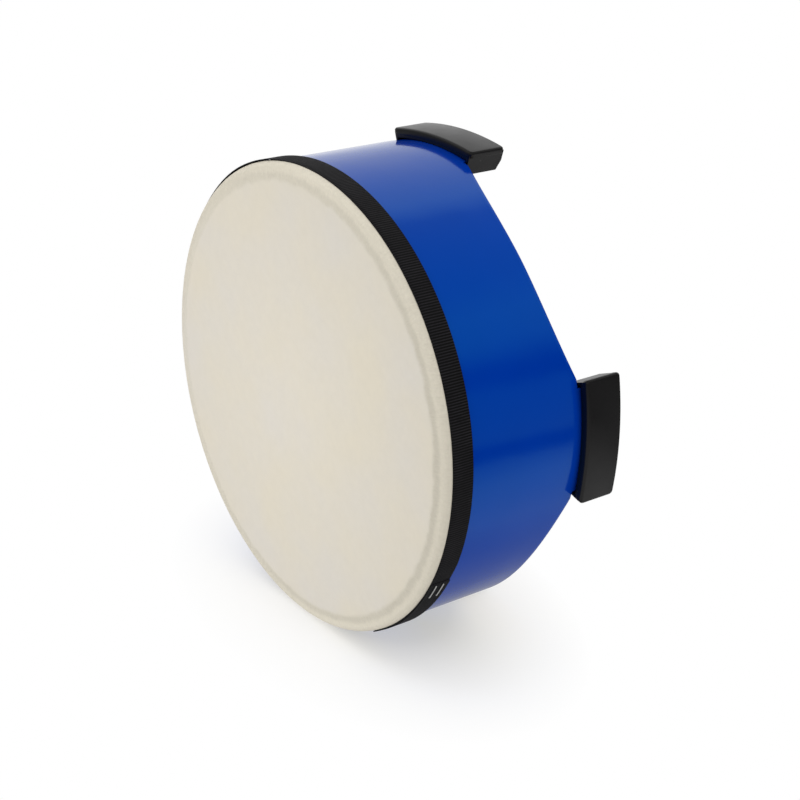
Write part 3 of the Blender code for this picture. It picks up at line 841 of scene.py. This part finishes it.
class FLOORDRUM_OT_tape_staples(bpy.types.Operator):
    """Bend the two bright staples that hold the tape's end, and finish those under the tape"""
    bl_idname = "floor_drum.add_staples"
    bl_label = "Add Staples"

    def execute(self, context):
        drum = context.scene.floor_drum
        fastener, tape = drum.fastener, drum.tape
        steel = bright_metal("galvanised_wire", fastener.steel, 0.34, 0.50, 0.6)
        half, wire, wide = fastener.crown / 2, fastener.wire, fastener.wire_width
        radius = HEAD_HIGH.x + tape.standoff + TAPE_STANDS[0][1] + tape.thickness + fastener.clear
        turn = tape.end_turn - (fastener.margin + half) / radius
        for level in ("upper", "lower"):
            node = "tape_staple_" + level
            low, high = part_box(node)
            height = (low.z + high.z) / 2
            outline = [(0.0, -wide / 2), (wire, -wide / 2), (wire, wide / 2), (0.0, wide / 2)]
            piece = extruded("bright_staple_" + level, outline, half)
            cut_across([-half + wire, half - wire, -half / 3, half / 3])
            bpy.ops.object.mode_set(mode='EDIT')
            bpy.ops.mesh.select_mode(type='FACE')
            bpy.ops.mesh.select_all(action='DESELECT')
            bpy.ops.object.mode_set(mode='OBJECT')
            for face in piece.data.polygons:
                face.select = face.normal.y < -0.9 and abs(face.center.x) > half - wire
            bpy.ops.object.mode_set(mode='EDIT')
            bpy.ops.mesh.extrude_region_move(TRANSFORM_OT_translate={"value": (0, -fastener.leg, 0)})
            bpy.ops.object.mode_set(mode='OBJECT')
            modify(piece, 'BEVEL', width=wire / 3, segments=3, limit_method='ANGLE',
                   angle_limit=math.radians(50))
            reshape(piece, lambda point: (point.x, point.y + radius, point.z + height))
            reshape(piece, on_arc(turn, radius))
            dress(piece, steel, [node])
        for name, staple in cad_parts.items():
            if name.startswith("head_staple"):
                staple.data.materials.clear()
                staple.data.materials.append(steel)
        return {'FINISHED'}


class FLOORDRUM_OT_feet(bpy.types.Operator):
    """Mould one foot straight, bend it to the shell and set a copy at each corner"""
    bl_idname = "floor_drum.add_feet"
    bl_label = "Add Feet"

    def execute(self, context):
        drum = context.scene.floor_drum
        foot = drum.foot
        shell = drum.shell
        form = foot_form(shell, foot)
        outside, height = foot.bend, FOOT_HIGH.z
        plate_inner, plate_low = outside - foot.plate, foot.fit
        plate = extruded("foot_plate", [
            (plate_inner, plate_low), (outside, plate_low), (outside, height), (plate_inner, height)],
            form.half)
        bevel_edges(plate, lambda a, b: abs(a.y - b.y) > foot.plate / 2, foot.corner, 5)
        bevel_edges(plate, lambda a, b: min(a.y, b.y) > outside - MERGE_DISTANCE, foot.lip, 5)
        bevel_edges(plate, lambda a, b: max(a.y, b.y) < plate_inner + MERGE_DISTANCE, foot.lip / 2, 3)

        block_outer = outside - foot.plate / 2
        block_top = height - foot.top_step
        block = extruded("foot_block", [
            (form.inside, foot.sole_taper), (form.inside, block_top), (block_outer, block_top),
            (block_outer, 0.0), (block_outer - foot.sole_flat, 0.0)], form.block_half)
        above = height + foot.plate
        pocket = extruded("foot_pocket", [
            (form.slot_inner, foot.sole), (form.slot_inner, above), (form.slot_outer, above),
            (form.slot_outer, foot.sole)], form.slot_half)
        combine(block, plate, 'UNION')
        combine(block, pocket, 'DIFFERENCE')
        modify(block, 'BEVEL', width=foot.eased, segments=2, limit_method='ANGLE',
               angle_limit=math.radians(40))
        cut_across([form.half * (2 * i / FOOT_CUTS - 1) for i in range(1, FOOT_CUTS)])

        def lean_ends(point):
            share = min(max((abs(point.x) - form.slot_half) / (form.half - form.slot_half), 0.0), 1.0)
            shift = math.copysign(foot.lean * share * (outside - point.y), point.x)
            return (point.x - shift, point.y, point.z)

        reshape(block, lean_ends)
        reshape(block, on_arc(0.0, outside, form.axis))

        plastic = moulded_plastic(foot.black)
        for corner, degrees in FOOT_TURNS.items():
            turn = Matrix.Rotation(math.radians(degrees), 4, 'Z')
            piece = copy_piece(block, "moulded_foot_" + corner, turn)
            dress(piece, plastic, ["foot_" + corner])
        bpy.data.objects.remove(block)
        return {'FINISHED'}


class FLOORDRUM_OT_screws(bpy.types.Operator):
    """Turn one pan-head screw with a crossed recess, and drive a copy into each hole of the feet"""
    bl_idname = "floor_drum.add_screws"
    bl_label = "Add Foot Screws"

    def execute(self, context):
        drum = context.scene.floor_drum
        fastener = drum.fastener
        shank, head = fastener.shank / 2, fastener.head / 2
        tall, length = fastener.head_height, fastener.screw_length
        crown = arc_points((head - 0.6 * tall, -0.4 * tall), 0.6 * tall, 0, -QUARTER_TURN, 6)
        profile = [(shank * 0.5, length), (shank, length - shank), (shank, 0.0), (head, 0.0)]
        screw = turned("foot_screw", profile + crown, SCREW_STEPS, capped=True)
        arm, slit = fastener.recess / 2, fastener.recess_width / 2
        for half, y in ((arm, slit), (slit, arm)):
            bar = extruded("recess_bar", [
                (-y, -2 * tall), (y, -2 * tall), (y, fastener.recess_depth - tall),
                (-y, fastener.recess_depth - tall)], half)
            combine(screw, bar, 'DIFFERENCE')
        bpy.ops.object.mode_set(mode='EDIT')
        close_mesh()
        zinc = bright_metal("zinc_plated_steel", fastener.zinc, 0.24, 0.38, 2.0)
        form = foot_form(drum.shell, drum.foot)
        spread = form.slot_half / drum.foot.bend / 2
        for corner, degrees in FOOT_TURNS.items():
            corner_turn = Matrix.Rotation(math.radians(degrees), 4, 'Z')
            foot_place = corner_turn @ Matrix.Translation((form.axis, 0, 0))
            for side, turn in (("left", -spread), ("right", spread)):
                name = "foot_screw_%s_%s" % (corner, side)
                low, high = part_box(name)
                seat = Matrix.Translation((form.inside - drum.foot.fit, 0, (low.z + high.z) / 2))
                outwards = Matrix.Rotation(turn, 4, 'Z') @ seat @ Matrix.Rotation(QUARTER_TURN, 4, 'Y')
                piece = copy_piece(screw, "zinc_" + name, foot_place @ outwards)
                dress(piece, zinc, [name])
        bpy.data.objects.remove(screw)
        return {'FINISHED'}


class FLOORDRUM_OT_stage(bpy.types.Operator):
    """Set the white floor that the drum lies on, the studio light and the camera"""
    bl_idname = "floor_drum.add_stage"
    bl_label = "Add Stage"

    def execute(self, context):
        stage = context.scene.floor_drum.stage
        scene = context.scene
        scene.view_settings.view_transform = 'Standard'

        camera = bpy.data.objects.new("camera", bpy.data.cameras.new("camera"))
        camera.location = CAMERA_PLACE
        camera.rotation_euler = CAMERA_TURN
        camera.data.lens = CAMERA_LENS
        camera.data.sensor_width = CAMERA_SENSOR
        scene.collection.objects.link(camera)
        scene.camera = camera

        back = camera.rotation_euler.to_matrix() @ Vector((0, 0, 1))
        front = (back - LYING_UP * back.dot(LYING_UP)).normalized()
        right = LYING_UP.cross(front)
        self.add_floor(stage)
        self.add_world(scene, front)
        for name, shares, distance, power in LAMPS:
            toward = -back
            if shares:
                toward = shares[0] * right + shares[1] * front + shares[2] * LYING_UP
            lamp = bpy.data.objects.new(name, bpy.data.lights.new(name, 'AREA'))
            lamp.data.shape = 'SQUARE'
            lamp.data.size = LAMP_SIZE
            lamp.data.energy = getattr(stage, power)
            lamp.visible_camera = False
            lamp.visible_glossy = False
            lamp.location = toward.normalized() * distance
            lamp.rotation_euler = toward.to_track_quat('Z', 'Y').to_euler()
            scene.collection.objects.link(lamp)
        return {'FINISHED'}

    def add_floor(self, stage):
        """A white floor under the lying drum, which shows its shadow and lets light past to the drum."""
        bpy.ops.object.select_all(action='DESELECT')
        touch = -LYING_UP * LYING_DEPTH
        bpy.ops.mesh.primitive_plane_add(size=FLOOR_SIZE)
        floor = name_piece("floor")
        floor.data.transform(LYING_UP.to_track_quat('Z', 'Y').to_matrix().to_4x4())
        floor.data.transform(Matrix.Translation(touch))
        for ray in ("diffuse", "glossy", "transmission", "volume_scatter", "shadow"):
            setattr(floor, "visible_" + ray, False)
        material = bpy.data.materials.new("white_floor")
        material.use_nodes = True
        tree = material.node_tree
        tree.nodes.clear()
        # The floor runs out to plain white round an oval beside the line where the drum touches it
        axis = Vector((0, 0, 1))
        along = (axis - LYING_UP * axis.dot(LYING_UP)).normalized()
        across = LYING_UP.cross(along)
        place = add(tree, "TexCoord").outputs["Object"]

        def oval_share(middle, directions, reaches):
            """Distance from an oval's middle, as a share of how far the oval reaches that way."""
            center = touch + middle[0] * along + middle[1] * across
            away = add(tree, "VectorMath", {0: place, 1: center}, operation='SUBTRACT')
            shares = [
                add(tree, "VectorMath", {0: away, 1: direction / reach}, operation='DOT_PRODUCT')
                for direction, reach in zip(directions, reaches)]
            flat = add(tree, "CombineXYZ", {"X": shares[0], "Y": shares[1]})
            return add(tree, "VectorMath", {0: flat}, operation='LENGTH')

        near, far = FADE_TURN
        turned_axes = (near * along - far * across, far * along + near * across)
        fade = remap(tree, oval_share(FADE_MIDDLE, turned_axes, FADE_REACH), (FADE_START, 1.0))
        # A warm tint beside the drum makes up for the blue that the shell throws on it
        bounce = remap(tree, oval_share(TINT_MIDDLE, (along, across), TINT_REACH), (0.0, 1.0))
        tint = [stage.floor_gain * share for share in TINT_SHARES]
        neutral = [stage.floor_gain] * 3
        colour = blend(tree, bounce, (*tint, 1.0), (*neutral, 1.0))
        lit = add(tree, "BsdfDiffuse", {"Color": colour})
        glow = add(tree, "Emission", {"Strength": stage.floor_glow})
        both = add(tree, "AddShader", {0: lit, 1: glow})
        white = add(tree, "Emission", {"Strength": 1.0})
        swept = add(tree, "MixShader", {0: fade, 1: both, 2: white})
        clear = add(tree, "BsdfTransparent")
        underneath = add(tree, "NewGeometry").outputs["Backfacing"]
        one_sided = add(tree, "MixShader", {0: underneath, 1: swept, 2: clear})
        add(tree, "OutputMaterial", {"Surface": one_sided})
        floor.data.materials.append(material)
        floor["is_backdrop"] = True

    def add_world(self, scene, front):
        """The studio that the gloss shows: a white sweep behind, panels at the sides, pale below."""
        world = bpy.data.worlds.new("studio")
        scene.world = world
        world.use_nodes = True
        tree = world.node_tree
        toward = add(tree, "TexCoord").outputs["Generated"]

        def level_along(direction, stops):
            """Brightness that depends on how far a ray leans towards a direction, from -1 to 1."""
            part = add(tree, "VectorMath", {
                0: toward, 1: direction.normalized()}, operation='DOT_PRODUCT')
            share = remap(tree, part, (-1.0, 1.0))
            ramp = add(tree, "ValToRGB", {"Fac": share})
            elements = ramp.color_ramp.elements
            while len(elements) < len(stops):
                elements.new(0.5)
            for element, (position, value) in zip(elements, stops):
                element.position = (position + 1) / 2
                element.color = (value, value, value, 1.0)
            return ramp

        sides = level_along(LYING_UP, SIDE_LEVELS)
        upper = level_along(LYING_UP - front, UPPER_SEAM)
        lower = level_along(LYING_UP - 0.43 * front, LOWER_SEAM)
        beyond = level_along(LYING_UP.cross(front), SEAM_SPAN)
        shade = level_along(-LYING_UP - front, SHADE_LEVELS)
        sweep = level_along(0.5 * LYING_UP - front, SWEEP_LEVELS)
        crossed = calc(tree, 'MULTIPLY', upper, lower)
        seams = calc(tree, 'MAXIMUM', crossed, beyond)
        walls = calc(tree, 'MULTIPLY', sides, seams)
        panels = calc(tree, 'MULTIPLY', walls, shade)
        studio = calc(tree, 'MAXIMUM', panels, sweep)
        seen = add(tree, "LightPath").outputs["Is Camera Ray"]
        shown = calc(tree, 'MAXIMUM', studio, seen)
        feed(tree, tree.nodes["Background"], {"Color": shown})


class FLOORDRUM_PT_panel(bpy.types.Panel):
    """Sizes, colours and steps of the floor drum."""
    bl_label = "Floor Drum"
    bl_idname = "FLOORDRUM_PT_panel"
    bl_space_type = 'VIEW_3D'
    bl_region_type = 'UI'
    bl_category = "Floor Drum"

    def draw(self, context):
        drum = context.scene.floor_drum
        for group in ("shell", "skin", "tape", "foot", "fastener", "stage"):
            box = self.layout.box()
            box.label(text=group.capitalize())
            settings = getattr(drum, group)
            for key in settings.__annotations__:
                box.prop(settings, key)
        for operator in OPERATORS:
            self.layout.operator(operator.bl_idname)


OPERATORS = (
    FLOORDRUM_OT_shell, FLOORDRUM_OT_skin, FLOORDRUM_OT_tape, FLOORDRUM_OT_tape_staples,
    FLOORDRUM_OT_feet, FLOORDRUM_OT_screws, FLOORDRUM_OT_stage)
GROUPS = (
    ShellSettings, SkinSettings, TapeSettings, FootSettings, FastenerSettings, StageSettings,
    FloorDrumSettings)


def register():
    """Register the settings, operators and panel."""
    for cls in (*GROUPS, *OPERATORS, FLOORDRUM_PT_panel):
        bpy.utils.register_class(cls)
    bpy.types.Scene.floor_drum = bpy.props.PointerProperty(type=FloorDrumSettings)


def unregister():
    """Remove the settings, operators and panel."""
    del bpy.types.Scene.floor_drum
    for cls in (FLOORDRUM_PT_panel, *OPERATORS[::-1], *GROUPS[::-1]):
        bpy.utils.unregister_class(cls)


def main():
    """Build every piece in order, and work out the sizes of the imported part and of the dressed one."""
    register()
    bpy.ops.floor_drum.add_shell()
    bpy.ops.floor_drum.add_skin()
    bpy.ops.floor_drum.add_tape()
    bpy.ops.floor_drum.add_staples()
    bpy.ops.floor_drum.add_feet()
    bpy.ops.floor_drum.add_screws()
    bpy.ops.floor_drum.add_stage()
    boxes = {"cad": CAD_BOX, "visual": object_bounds()}
    {name: [list(corner) for corner in box] for name, box in boxes.items()}


if __name__ == "__main__":
    main()
